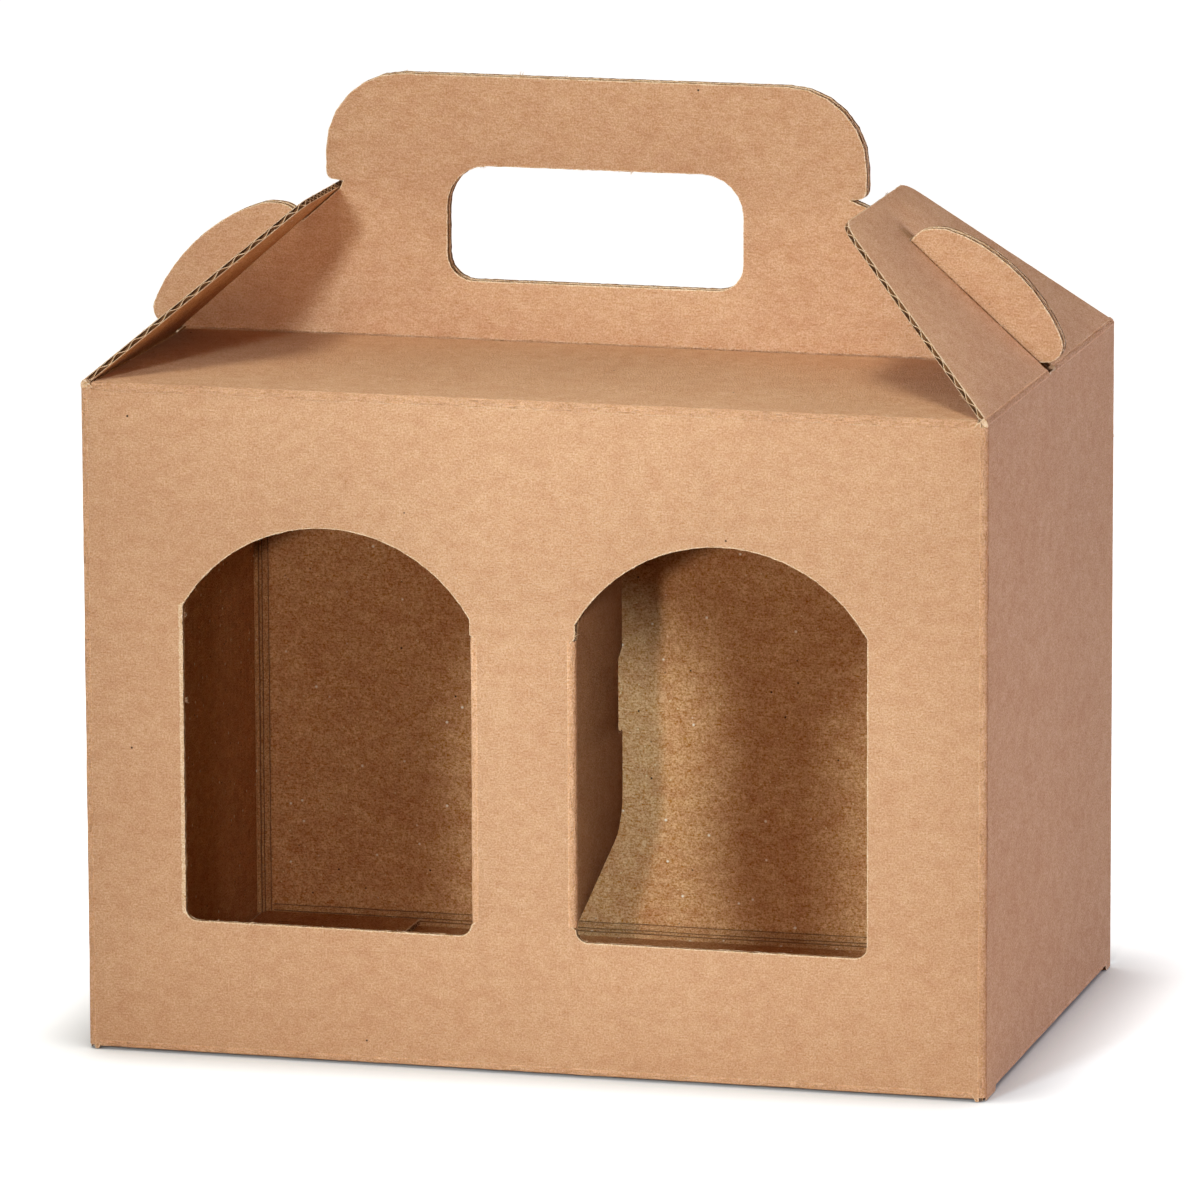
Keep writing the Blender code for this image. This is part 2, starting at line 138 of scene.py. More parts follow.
# %% Floor and world
FLOOR_SIZE = 12.0
FLOOR_SEEN = "D4DCE4"
FLOOR_BOUNCE = "D2C8B8"
# The glow at the box, and between which distances it rises to full white
FLOOR_GLOW = 0.84
GLOW_NEAR = 0.12
GLOW_FAR = 0.23
CONTACT_REACH = 0.028
CONTACT_DEPTH = 2.0
CONTACT_SAMPLES = 8
ROOM_COLOUR = "FFBE78"
ROOM_LIGHT = 0.10
WHITE = (1, 1, 1, 1)


def white_floor():
    bpy.ops.object.select_all(action="DESELECT")
    bpy.ops.mesh.primitive_plane_add(size=FLOOR_SIZE, location=(0, 0, 0))
    floor = bpy.context.object
    floor.name = "studio_floor"
    material = bpy.data.materials.new("white_studio_floor")
    material.use_nodes = True
    tree = material.node_tree
    tree.nodes.clear()
    path = add(tree, "ShaderNodeLightPath")
    diffuse = add(tree, "ShaderNodeBsdfDiffuse", Color=linear(FLOOR_SEEN))
    place = add(tree, "ShaderNodeTexCoord").outputs["Object"]
    away = add(tree, "ShaderNodeVectorMath", {"operation": "LENGTH"}, i0=place).outputs["Value"]
    level = add(tree, "ShaderNodeMapRange", {"interpolation_type": "SMOOTHSTEP"}, Value=away,
                From_Min=GLOW_NEAR, From_Max=GLOW_FAR, To_Min=FLOOR_GLOW, To_Max=1.0)
    contact = add(tree, "ShaderNodeAmbientOcclusion", {"samples": CONTACT_SAMPLES}, Distance=CONTACT_REACH)
    deep = add(tree, "ShaderNodeMath", {"operation": "POWER"}, i0=contact.outputs["AO"], i1=CONTACT_DEPTH)
    strength = add(tree, "ShaderNodeMath", {"operation": "MULTIPLY"}, i0=level, i1=deep)
    glow = add(tree, "ShaderNodeEmission", Color=WHITE, Strength=strength)
    both = add(tree, "ShaderNodeAddShader", i0=diffuse, i1=glow)
    bounce = add(tree, "ShaderNodeBsdfDiffuse", Color=linear(FLOOR_BOUNCE))
    seen = add(tree, "ShaderNodeMixShader", i0=path.outputs["Is Camera Ray"], i1=bounce, i2=both)
    add(tree, "ShaderNodeOutputMaterial", Surface=seen)
    floor.data.materials.append(material)


def white_world():
    world = bpy.data.worlds.new("studio")
    bpy.context.scene.world = world
    world.use_nodes = True
    tree = world.node_tree
    tree.nodes.clear()
    path = add(tree, "ShaderNodeLightPath")
    room = add(tree, "ShaderNodeBackground", Color=linear(ROOM_COLOUR), Strength=ROOM_LIGHT)
    white = add(tree, "ShaderNodeBackground", Color=WHITE, Strength=1.0)
    shown = add(tree, "ShaderNodeMath", {"operation": "MAXIMUM"}, i0=path.outputs["Is Camera Ray"],
                i1=path.outputs["Is Glossy Ray"])
    clear = add(tree, "ShaderNodeMath", {"operation": "MAXIMUM"}, i0=shown,
                i1=path.outputs["Is Transmission Ray"])
    mixed = add(tree, "ShaderNodeMixShader", i0=clear, i1=room, i2=white)
    add(tree, "ShaderNodeOutputWorld", Surface=mixed)


white_floor()
white_world()
print("floor", FLOOR_SIZE, "m wide")

# %% [markdown]
# ## Lamps
# The shadows tell where the photographer's lamps were. A small lamp in front, to the right, throws the
# windows' shapes on the back wall. A gridded spot from the upper left makes the front's bright middle
# and the bright patch inside. A softbox over the box puts the lock flaps' shadows on the roof, and the
# right side gets only a weak cool fill. Their levels were fitted from pictures with one lamp each.

# %% Lamps
LAMP_AIM = Vector((0, 0, 0.11))
SPOT_AIM = Vector((0.028, -0.07, 0.122))


def lamp(name, direction, distance, size, power, colour):
    """A square flat lamp that looks at the box from a direction."""
    light = bpy.data.lights.new(name, "AREA")
    light.shape = "SQUARE"
    light.size = size
    light.energy = power
    light.color = linear(colour)[:3]
    hang(name, light, LAMP_AIM, direction, distance)


def hang(name, light, aim, direction, distance):
    """Puts a light at a distance from its aim, turned to it."""
    item = bpy.data.objects.new(name, light)
    bpy.context.scene.collection.objects.link(item)
    place = aim + Vector(direction).normalized() * distance
    item.matrix_world = (aim - place).to_track_quat("-Z", "Y").to_matrix().to_4x4()
    item.location = place


def spot(name, direction, distance, radius, power, cone, colour):
    """A gridded round lamp, brightest in the middle of its beam."""
    light = bpy.data.lights.new(name, "SPOT")
    light.shadow_soft_size = radius
    light.energy = power
    light.spot_size = math.radians(cone)
    light.spot_blend = 1.0
    light.color = linear(colour)[:3]
    hang(name, light, SPOT_AIM, direction, distance)


lamp("front_lamp", (0.160, -1.0, 0.19), 1.7, 0.05, 8.1, "FFE5D4")
lamp("top_softbox", (-0.08, -0.13, 1.0), 1.2, 0.30, 5.0, "FFF7E2")
lamp("right_fill", (1.0, 0.10, 0.03), 1.3, 0.5, 10.5, "E2E4FC")
spot("left_spot", (-0.270, -1.0, 0.379), 1.6, 0.17, 109, 18, "EDFCFF")
bpy.context.scene.view_settings.view_transform = "Standard"

# %% [markdown]
# ## Kraft paper
# The outer liner is unbleached kraft: long softwood fibres, lying mostly across the flutes, give fine
# streaks, a soft mottle and a matt face. The inner liner is recycled paper, darker, with pale and dark
# specks. Fluting paper is darker still, and where the die cuts through the sheet the torn fibres are
# cream. All four are one recipe with other colours and sizes, on Object coordinates in real millimetres.

# %% Paper recipe
MM = 0.001
FIBRE_LENGTH = 1.6 * MM
FIBRE_WIDTH = 0.34 * MM
# Each layer of grain: its size, its stretch along the fibres, its detail and how far it swings. The
# fine layers are fibres and speckle, and the coarse ones mottle and clouds.
FINE_GRAIN = ((FIBRE_WIDTH, FIBRE_LENGTH / FIBRE_WIDTH, 2, 1.0), (0.45 * MM, 1.0, 1, 1.8))
COARSE_GRAIN = ((3.2 * MM, 1.6, 3, 0.75), (22 * MM, 1.5, 2, 0.25))
GRAIN_ROUGH = 0.6
# Blender's noise lies almost wholly between these values
NOISE_LOW = 0.3
NOISE_HIGH = 0.7
# The fine grain is light and shade on fibres, which swings blue more than red in a brown paper
FINE_TILT = (0.57, 0.93, 1.55)
# The mottle goes from pinkish brown to pale tan, so red stays nearly the same
COARSE_TILT = (0.55, 1.0, 1.2)
FINE_HEIGHT = 0.03 * MM
FLUTE_PITCH = 3.3 * MM
PAPER_ROUGH = 0.85
PAPER_GLOSS = 0.25
# Flecks: which share they take, their colour, their distance from each other and their radius
FLECKS = (
    ("pale", "EBD3A8", 2.3 * MM, 0.30 * MM),
    ("pale", "FFF6E4", 4.1 * MM, 0.50 * MM),
    ("dark", "3A2412", 3.7 * MM, 0.38 * MM),
)
FLECK_CORE = 0.5


def grain(tree, place, across, layers):
    """The sum of two layers of noise, each stretched along the fibres."""
    parts = []
    for size, stretch, detail, swing in layers:
        scale = [1 / size] * 3
        scale["XYZ".index(across)] /= stretch
        mapped = add(tree, "ShaderNodeMapping", Vector=place, Scale=scale)
        cloud = add(tree, "ShaderNodeTexNoise", Vector=mapped, Scale=1.0, Detail=detail,
                    Roughness=GRAIN_ROUGH)
        parts.append(add(tree, "ShaderNodeMapRange", Value=cloud, From_Min=NOISE_LOW, From_Max=NOISE_HIGH,
                         To_Min=-swing, To_Max=swing))
    return add(tree, "ShaderNodeMath", {"operation": "ADD"}, i0=parts[0], i1=parts[1])


def flecks(tree, place, spacing, radius, share):
    """Round flecks: 1 at the centres of that share of the cells and 0 elsewhere."""
    mapped = add(tree, "ShaderNodeMapping", Vector=place, Scale=[1 / spacing] * 3)
    cells = add(tree, "ShaderNodeTexVoronoi", Vector=mapped, Scale=1.0)
    rim = radius / spacing
    near = add(tree, "ShaderNodeMapRange", Value=cells.outputs["Distance"], From_Min=rim,
               From_Max=rim * FLECK_CORE)
    chosen = add(tree, "ShaderNodeSeparateColor", Color=cells.outputs["Color"])
    few = add(tree, "ShaderNodeMath", {"operation": "LESS_THAN"}, i0=chosen, i1=share)
    return add(tree, "ShaderNodeMath", {"operation": "MULTIPLY"}, i0=near, i1=few)


def paper(name, colour, across, contrast, pale=0.0, dark=0.0, ribs=0.0):
    """Matt brown paper. across is the axis that its fibres lie along, pale and dark are the shares of
    flecks, and ribs is the height of the flutes' print-through on it."""
    material = bpy.data.materials.new(name)
    material.use_nodes = True
    tree = material.node_tree
    shader = tree.nodes["Principled BSDF"]
    shader.inputs["Roughness"].default_value = PAPER_ROUGH
    shader.inputs["Specular IOR Level"].default_value = PAPER_GLOSS
    place = add(tree, "ShaderNodeTexCoord").outputs["Object"]
    fine = grain(tree, place, across, FINE_GRAIN)
    coarse = grain(tree, place, across, COARSE_GRAIN)
    base = linear(colour)[:3]
    swing = [value * tilt * contrast for value, tilt in zip(base, FINE_TILT)]
    fibres = add(tree, "ShaderNodeVectorMath", {"operation": "MULTIPLY_ADD"}, i0=fine, i1=swing, i2=base)
    swing = [tilt * contrast for tilt in COARSE_TILT]
    level = add(tree, "ShaderNodeVectorMath", {"operation": "MULTIPLY_ADD"}, i0=coarse, i1=swing,
                i2=(1, 1, 1))
    seen = add(tree, "ShaderNodeVectorMath", {"operation": "MULTIPLY"}, i0=fibres, i1=level).outputs[0]
    for kind, shade, spacing, radius in FLECKS:
        share = pale if kind == "pale" else dark
        if share:
            spots = flecks(tree, place, spacing, radius, share)
            # The colours of a Mix node are its sockets 6 and 7, and their mix is output 2
            seen = add(tree, "ShaderNodeMix", {"data_type": "RGBA"}, i0=spots, i6=seen,
                       i7=linear(shade)).outputs[2]
    tree.links.new(seen, shader.inputs["Base Color"])
    along = add(tree, "ShaderNodeSeparateXYZ", Vector=place).outputs["XYZ".index(across)]
    phase = add(tree, "ShaderNodeMath", {"operation": "MULTIPLY"}, i0=along, i1=2 * math.pi / FLUTE_PITCH)
    wave = add(tree, "ShaderNodeMath", {"operation": "SINE"}, i0=phase)
    raised = add(tree, "ShaderNodeMath", {"operation": "MULTIPLY"}, i0=wave, i1=ribs)
    height = add(tree, "ShaderNodeMath", {"operation": "MULTIPLY_ADD"}, i0=fine, i1=FINE_HEIGHT, i2=raised)
    bump = add(tree, "ShaderNodeBump", Strength=1.0, Distance=1.0, Height=height)
    tree.links.new(bump.outputs[0], shader.inputs["Normal"])
    return material


# %% [markdown]
# ## The papers of this box
# The recipe is called once for each paper and for each direction of the fibres. An image of paper would
# show its seams and its one scale, while noise in millimetres goes on over every fold. A fold's paper is
# the outer liner, stretched until it is paler, and made paler still as a painted highlight along the
# fold.

# %% The box's papers
PAPERS = {}
for across in "XY":
    PAPERS[across] = [
        paper("kraft_liner_outside_" + across, "CCA280", across, 0.135, dark=0.03, ribs=0.008 * MM),
        paper("recycled_liner_inside_" + across, "CB9A6B", across, 0.25, pale=0.36, dark=0.16,
              ribs=0.04 * MM),
        # The fluting paper is also put in the grooves of the bead inside the corners, as painted shade
        paper("semichemical_fluting_" + across, "8A6240", across, 0.12),
        paper("torn_cut_edge_" + across, "E2C6A6", across, 0.14),
        # The fold paper is paler than stretched kraft alone: a painted highlight along every fold
        paper("stretched_kraft_fold_" + across, "E2B691", across, 0.135),
    ]
# The order of the papers is also the order of every piece's material slots
OUTSIDE, INSIDE, FLUTING_AND_GROOVE_SHADE, CUT, FOLD = range(5)
print("papers", [m.name for m in PAPERS["X"]])

# %% [markdown]
# ## The panels' own frames
# Each panel lies in its own frame: X along its crease, Y up the panel, the way that the flutes run,
# and Z out of its printed side. The sizes come from the fixed panels, which end a little short of the
# creases between them.

# %% Frames
BOARD = 1.6 * MM
PLY_GAP = 1.2 * MM
CREASE_GAP = 0.2 * MM
LOW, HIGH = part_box("front_panel")
HALF_WIDTH = HIGH.x + CREASE_GAP
HALF_DEPTH = -LOW.y
HEIGHT = HIGH.z + CREASE_GAP
RIGHT_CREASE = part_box("right_divider_flap")[1].x
LEFT_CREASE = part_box("left_divider_flap")[0].x
GLUE_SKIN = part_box("glue_flap")[1].x
LOCK_TURN = 48.3
LOCK_TILT = math.radians(LOCK_TURN)
HANDLE_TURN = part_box("front_handle_panel")[0].z - CREASE_GAP
ROOF_SLOPE = math.atan2(HANDLE_TURN - HEIGHT + BOARD, HALF_DEPTH - PLY_GAP / 2)
GRIP_SKIN = PLY_GAP / 2 + BOARD
print("half width", HALF_WIDTH, "half depth", HALF_DEPTH, "height", HEIGHT, "handle turns at", HANDLE_TURN)
print("divider creases", LEFT_CREASE, RIGHT_CREASE)


def axes(origin, along, up):
    """The matrix of a panel's frame."""
    along = Vector(along).normalized()
    up = Vector(up).normalized()
    matrix = Matrix((along, up, along.cross(up))).transposed().to_4x4()
    matrix.translation = Vector(origin)
    return matrix


def lock_up(side):
    """The way up a lock flap. side is 1 at the right and -1 at the left."""
    return (-side * math.sin(LOCK_TILT), 0, math.cos(LOCK_TILT))


def roof_up(side):
    """The way up a roof panel. side is 1 at the back and -1 at the front."""
    return (0, -side * math.cos(ROOF_SLOPE), math.sin(ROOF_SLOPE))


UP = (0, 0, 1)
# Each panel's body, the axis across its flutes and its frame
PANELS = {
    "front_panel": ("case", "X", axes((0, -HALF_DEPTH, 0), (1, 0, 0), UP)),
    "back_panel": ("case", "X", axes((0, HALF_DEPTH, 0), (-1, 0, 0), UP)),
    "left_side_panel": ("case", "Y", axes((-HALF_WIDTH, 0, 0), (0, -1, 0), UP)),
    "right_side_panel": ("case", "Y", axes((HALF_WIDTH, 0, 0), (0, 1, 0), UP)),
    "glue_flap": ("case", "Y", axes((GLUE_SKIN, HALF_DEPTH, 0), (0, 1, 0), UP)),
    "front_base_panel": ("case", "X", axes((0, -HALF_DEPTH, 0), (-1, 0, 0), (0, 1, 0))),
    "back_base_panel": ("case", "X", axes((0, HALF_DEPTH, 0), (1, 0, 0), (0, -1, 0))),
    "left_base_hook": ("case", "Y", axes((-HALF_WIDTH, 0, 0), (0, 1, 0), (1, 0, 0))),
    "right_base_hook": ("case", "Y", axes((HALF_WIDTH, 0, 0), (0, -1, 0), (-1, 0, 0))),
    "left_divider_flap": ("left_divider", "Y", axes((LEFT_CREASE, -HALF_DEPTH, 0), (0, -1, 0), UP)),
    "right_divider_flap": ("right_divider", "Y", axes((RIGHT_CREASE, -HALF_DEPTH, 0), (0, 1, 0), UP)),
    "left_lock_flap": ("left_lock", "Y", axes((-HALF_WIDTH, 0, HEIGHT), (0, -1, 0), lock_up(-1))),
    "right_lock_flap": ("right_lock", "Y", axes((HALF_WIDTH, 0, HEIGHT), (0, 1, 0), lock_up(1))),
    "front_roof_panel": ("front_roof", "X", axes((0, -HALF_DEPTH, HEIGHT), (1, 0, 0), roof_up(-1))),
    "back_roof_panel": ("back_roof", "X", axes((0, HALF_DEPTH, HEIGHT), (-1, 0, 0), roof_up(1))),
    "front_handle_panel": ("front_handle", "X", axes((0, -GRIP_SKIN, HANDLE_TURN), (1, 0, 0), UP)),
    "back_handle_panel": ("back_handle", "X", axes((0, GRIP_SKIN, HANDLE_TURN), (-1, 0, 0), UP)),
}

# %% [markdown]
# ## Where the board folds
# Near a crease the flat board gives way to a rounded fold, so each panel is cut back there by the
# fold's own reach. The table says, in each panel's frame, on which line it folds and how far along.

# %% Crease lines
FOLD_RADIUS = 1.7 * MM


def reach(turn):
    """How far a fold that turns that many degrees reaches from the sharp corner."""
    return FOLD_RADIUS * math.tan(math.radians(turn) / 2)


ALL = (-1.0, 1.0)
ROOF_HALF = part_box("front_roof_panel")[1].x
FRONT_BASE_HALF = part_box("front_base_panel")[1].x
BACK_BASE_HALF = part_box("back_base_panel")[1].x
HOOK_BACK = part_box("right_base_hook")[1].y
HOOK_FRONT = -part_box("right_base_hook")[0].y
SLOT_HALF = 3.5 * MM
LOCK_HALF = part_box("right_lock_flap")[1].y
DIVIDER_LOW = 39.6 * MM
DIVIDER_HIGH = 115.1 * MM
GLUE_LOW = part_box("glue_flap")[0].z
GLUE_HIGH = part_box("glue_flap")[1].z
SQUARE = reach(90)
LOCK_REACH = reach(LOCK_TURN)
# Where the roof meets the handle, the fold reaches only that far and bends the other way
VALLEY = 0.25 * MM
# How far the handle's foot stands over the body's top
HANDLE_FOOT = 1.8 * MM
FEET = {
    "front_panel": (-FRONT_BASE_HALF, FRONT_BASE_HALF),
    "back_panel": (-BACK_BASE_HALF, BACK_BASE_HALF),
    "left_side_panel": (-HOOK_BACK, HOOK_FRONT),
    "right_side_panel": (-HOOK_FRONT, HOOK_BACK),
}
HOOK_TURN = 112.9
FOOT_TURNS = {
    "front_panel": 107.6,
    "back_panel": 90,
    "left_side_panel": HOOK_TURN,
    "right_side_panel": HOOK_TURN,
}
LOCK_STRETCHES = [(-LOCK_HALF, -SLOT_HALF), (SLOT_HALF, LOCK_HALF)]
# A crease is (axis, value, reach, stretches along it)
CREASES = {}
for node in ("front_panel", "back_panel"):
    CREASES[node] = [
        ("x", -HALF_WIDTH, SQUARE, [ALL]),
        ("x", HALF_WIDTH, SQUARE, [ALL]),
        ("y", HEIGHT, SQUARE, [(-ROOF_HALF, ROOF_HALF)]),
        ("y", 0, reach(FOOT_TURNS[node]), [FEET[node]]),
    ]
for node in ("left_side_panel", "right_side_panel"):
    CREASES[node] = [
        ("x", -HALF_DEPTH, SQUARE, [ALL]),
        ("x", HALF_DEPTH, SQUARE, [ALL]),
        ("y", HEIGHT, LOCK_REACH, LOCK_STRETCHES),
        ("y", 0, reach(FOOT_TURNS[node]), [FEET[node]]),
    ]
# The back panel turns into the glue flap, one board in from the right side panel's raw rear edge
CREASES["back_panel"][0] = ("x", -HALF_WIDTH, HALF_WIDTH - GLUE_SKIN + SQUARE, [ALL])
del CREASES["right_side_panel"][1]
for crease in (LEFT_CREASE, RIGHT_CREASE):
    CREASES["front_panel"].append(("x", crease, SQUARE, [(DIVIDER_LOW, DIVIDER_HIGH)]))
CREASES["glue_flap"] = [("x", 0, SQUARE, [ALL])]
CREASES["front_base_panel"] = [("y", 0, reach(FOOT_TURNS["front_panel"]), [ALL])]
CREASES["back_base_panel"] = [("y", 0, reach(FOOT_TURNS["back_panel"]), [ALL])]
for node in ("left_base_hook", "right_base_hook"):
    CREASES[node] = [("y", 0, reach(HOOK_TURN), [ALL])]
# Past straight in, a divider's inner corner would run into the post, so its board starts later
DIVIDER_ROOM = 0.45 * MM
for node in ("left_divider_flap", "right_divider_flap"):
    CREASES[node] = [("x", 0, SQUARE + DIVIDER_ROOM, [ALL])]
for node in ("left_lock_flap", "right_lock_flap"):
    CREASES[node] = [("y", 0, LOCK_REACH, LOCK_STRETCHES)]
ROOF_TOP = (HALF_DEPTH - PLY_GAP / 2 - BOARD) / math.cos(ROOF_SLOPE)
for node in ("front_roof_panel", "back_roof_panel"):
    CREASES[node] = [("y", 0, SQUARE, [ALL]), ("y", ROOF_TOP, VALLEY, [ALL])]
for node in ("front_handle_panel", "back_handle_panel"):
    CREASES[node] = [("y", HEIGHT + HANDLE_FOOT - HANDLE_TURN, VALLEY, [ALL])]

# %% [markdown]
# ## Die-cutting the board
# Board is two liners on a fluted sheet. A steel rule cuts through all three and leaves slightly ragged
# edges. Each liner is made from the outer skin of the fixed panel, walked round in short steps and
# extruded through the paper's thickness with a little noise at each level. The fluting is a grid
# primitive pushed into waves and cut to the same outline with a Boolean. Flutes run up every panel,
# because all of them come from one sheet.

# %% Outlines
LINER = 0.24 * MM
FLUTE_PAPER = 0.16 * MM
CUT_STEP = 1.2 * MM
CUT_NOISE = 0.045 * MM
# Points closer than this count as one, or as lying on a line
TOUCH = 0.01 * MM
# Faces of the outer skin look out at least this far, as the Z of their normal
FACING = 0.7
LEAST_STEP = 0.4 * MM


def only(item):
    """Deselects everything and makes one object active and selected."""
    bpy.ops.object.select_all(action="DESELECT")
    item.select_set(True)
    bpy.context.view_layer.objects.active = item


def skin_of(node, matrix):
    """The outer skin of a fixed panel as a merged mesh in the panel's frame."""
    mesh = bmesh.new()
    mesh.from_mesh(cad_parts[node].data)
    bmesh.ops.transform(mesh, matrix=matrix.inverted(), verts=mesh.verts)
    bmesh.ops.remove_doubles(mesh, verts=mesh.verts, dist=TOUCH)
    inward = [face for face in mesh.faces if face.normal.z < FACING]
    bmesh.ops.delete(mesh, geom=inward, context="FACES")
    return mesh


def outlines(node, matrix):
    """The outlines of the panel's outer skin, each a list of 2-D points with the board on its left."""
    mesh = skin_of(node, matrix)
    links = {}
    for edge in mesh.edges:
        if len(edge.link_faces) == 1:
            loop = edge.link_loops[0]
            links[loop.vert] = loop.link_loop_next.vert
    rings = []
    while links:
        vert = next(iter(links))
        ring = []
        while vert in links:
            ring.append(vert.co.xy.copy())
            vert = links.pop(vert)
        rings.append(ring)
    mesh.free()
    return rings


def stepped(ring):
    """The outline with points no further apart than a cutting step."""
    points = []
    for start, stop in zip(ring, ring[1:] + ring[:1]):
        count = max(1, math.ceil((stop - start).length / CUT_STEP))
        points += [start.lerp(stop, step / count) for step in range(count)]
    return points


def cut_back(point, creases):
    """The point, moved back from a crease that it lies on."""
    point = point.copy()
    for axis, value, depth, stretches in creases:
        across, along = (0, 1) if axis == "x" else (1, 0)
        if abs(point[across] - value) > depth - TOUCH:
            continue
        if any(low <= point[along] <= high for low, high in stretches):
            point[across] = value + math.copysign(depth, point[across] - value)
    return point


def thinned(points):
    """The outline without points that lie too close to the one before."""
    kept = []
    for point in points:
        if not kept or (point - kept[-1]).length > LEAST_STEP:
            kept.append(point)
    while len(kept) > 3 and (kept[-1] - kept[0]).length <= LEAST_STEP:
        kept.pop()
    return kept


# %% [markdown]
# ## Liners
# A liner is a closed plate, not a plane, since its torn edge shows as a cream rim. The rule enters from
# one side and drags the face's edge inwards, so the ring of points at the face is set back a little.
# The left window's edge has lost a wider strip of its face.

# %% Liners
LINER_LEVELS = 2
CUT_LIP = 0.28 * MM
# The raggedness of a cut is random, but never more than this many times its usual size
MOST_RAGGED = 2.2
PEEL = 0.75 * MM
PEEL_UNEVEN = (0.75, 1.2)
PEEL_NEAR = 0.3 * MM


def paint(item, across):
    """Gives a piece the slots of all papers."""
    for sheet in PAPERS[across]:
        item.data.materials.append(sheet)


def prism(name, rings, top, bottom, levels, ragged, chance, slots, torn=None, peeled=None):
    """A closed plate between two heights. slots are the papers of its top, its bottom and its sides, and
    torn is the level where the blunt side of the rule has dragged the cut edge inwards. peeled is the X
    of an upright edge where the liner's face has come off in a narrow strip."""
    top_slot, bottom_slot, side_slot = slots
    mesh = bmesh.new()
    caps = {0: [], levels: []}
    for points in rings:
        rows = []
        for level in range(levels + 1):
            height = top + (bottom - top) * level / levels
            row = []
            for index, point in enumerate(points):
                ahead = (points[(index + 1) % len(points)] - points[index - 1]).normalized()
                shift = max(-MOST_RAGGED, min(MOST_RAGGED, chance.gauss(0, 1))) * ragged
                if level == torn:
                    shift += CUT_LIP
                    if peeled is not None and abs(point.x - peeled) < PEEL_NEAR:
                        shift += PEEL * chance.uniform(*PEEL_UNEVEN)
                spot = point + Vector((-ahead.y, ahead.x)) * shift
                row.append(mesh.verts.new((spot.x, spot.y, height)))
            rows.append(row)
        for upper, lower in zip(rows, rows[1:]):
            for index in range(len(points)):
                after = (index + 1) % len(points)
                side = mesh.faces.new((upper[index], lower[index], lower[after], upper[after]))
                side.material_index = side_slot
        for level in caps:
            row = rows[level]
            caps[level] += [mesh.edges.get((row[i - 1], row[i])) for i in range(len(row))]
    for level, edges in caps.items():
        filled = bmesh.ops.triangle_fill(mesh, edges=edges, use_beauty=True, use_dissolve=False)
        for item in filled["geom"]:
            if isinstance(item, bmesh.types.BMFace):
                item.material_index = top_slot if level == 0 else bottom_slot
    bmesh.ops.recalc_face_normals(mesh, faces=mesh.faces)
    data = bpy.data.meshes.new(name)
    mesh.to_mesh(data)
    mesh.free()
    item = bpy.data.objects.new(name, data)
    bpy.context.scene.collection.objects.link(item)
    return item


# %% [markdown]
# ## Fluting
# The waved middle sheet shows as dark openings on every edge that crosses the flutes. A bump couldn't
# give those holes. A grid primitive is pushed into a cosine wave, given thickness with Solidify and cut
# with a Boolean, because its cut faces then lie exactly on the liners' outline.

# %% Fluting
WAVE_STEPS = 8
WAVE_CELL = 12 * MM
WAVE_ROOM = 0.005 * MM
WAVE = (BOARD - 2 * LINER - FLUTE_PAPER) / 2 - WAVE_ROOM


def fluting(rings, across):
    """A waved sheet of fluting paper, cut to the panel's outline."""
    points = [point for ring in rings for point in ring]
    low = Vector((min(p.x for p in points) - MM, min(p.y for p in points) - MM))
    size = Vector((max(p.x for p in points) + MM, max(p.y for p in points) + MM)) - low
    columns = math.ceil(size.x / FLUTE_PITCH * WAVE_STEPS)
    rows = math.ceil(size.y / WAVE_CELL)
    bpy.ops.object.select_all(action="DESELECT")
    bpy.ops.mesh.primitive_grid_add(x_subdivisions=columns, y_subdivisions=rows, size=1)
    sheet = bpy.context.object
    for vert in sheet.data.vertices:
        vert.co.x = low.x + (vert.co.x + 0.5) * size.x
        vert.co.y = low.y + (vert.co.y + 0.5) * size.y
        vert.co.z = -BOARD / 2 + WAVE * math.cos(2 * math.pi * vert.co.x / FLUTE_PITCH)
    solid = sheet.modifiers.new("thickness", "SOLIDIFY")
    solid.thickness = FLUTE_PAPER
    solid.offset = 0
    bpy.ops.object.modifier_apply(modifier="thickness")
    for face in sheet.data.polygons:
        face.material_index = FLUTING_AND_GROOVE_SHADE
    tool = prism("die", rings, MM, -BOARD - MM, 1, 0, random.Random(0), (CUT, CUT, CUT))
    for item in (sheet, tool):
        paint(item, across)
    cut = sheet.modifiers.new("cut", "BOOLEAN")
    cut.operation = "INTERSECT"
    cut.solver = "EXACT"
    cut.object = tool
    bpy.ops.object.modifier_apply(modifier="cut")
    bpy.data.objects.remove(tool)
    return sheet


# %% [markdown]
# ## Torn fibres
# A worn rule tears more than it cuts, and fibres stand out of the edge, here and there as a tuft.
# Particle hair would not export, so each fibre is a short strand of one curve with a round bevel, which
# becomes a mesh. Creased edges have none.

# %% Torn fibres
FRAY_CHANCE = 0.16
TUFT_CHANCE = 0.014
FRAY_LENGTH = 0.75 * MM
FRAY_MOST = 4
TUFT_LENGTH = 1.7 * MM
TUFT_MOST = 16
FRAY_THICK = 0.06 * MM
FRAY_MARGIN = 0.3 * MM
# How far apart the roots of a tuft lie in mm, and how much its fibres lean aside, rise, curl and taper
ROOT_SPREAD = 0.5
ROOT_DEPTH = 0.1
LEAN = 1.6
RISE = 0.35
CURL = 0.5
TAPER = 0.25
FIBRE_STEPS = 3
LEAST_SHARE = 0.3


def is_raw(point, creases):
    """Whether the point of an outline is on a cut edge and not on a crease."""
    for axis, value, depth, stretches in creases:
        across, along = (0, 1) if axis == "x" else (1, 0)
        near = abs(point[across] - value) < depth + FRAY_MARGIN
        if near and any(low - MM <= point[along] <= high + MM for low, high in stretches):
            return False
    return True


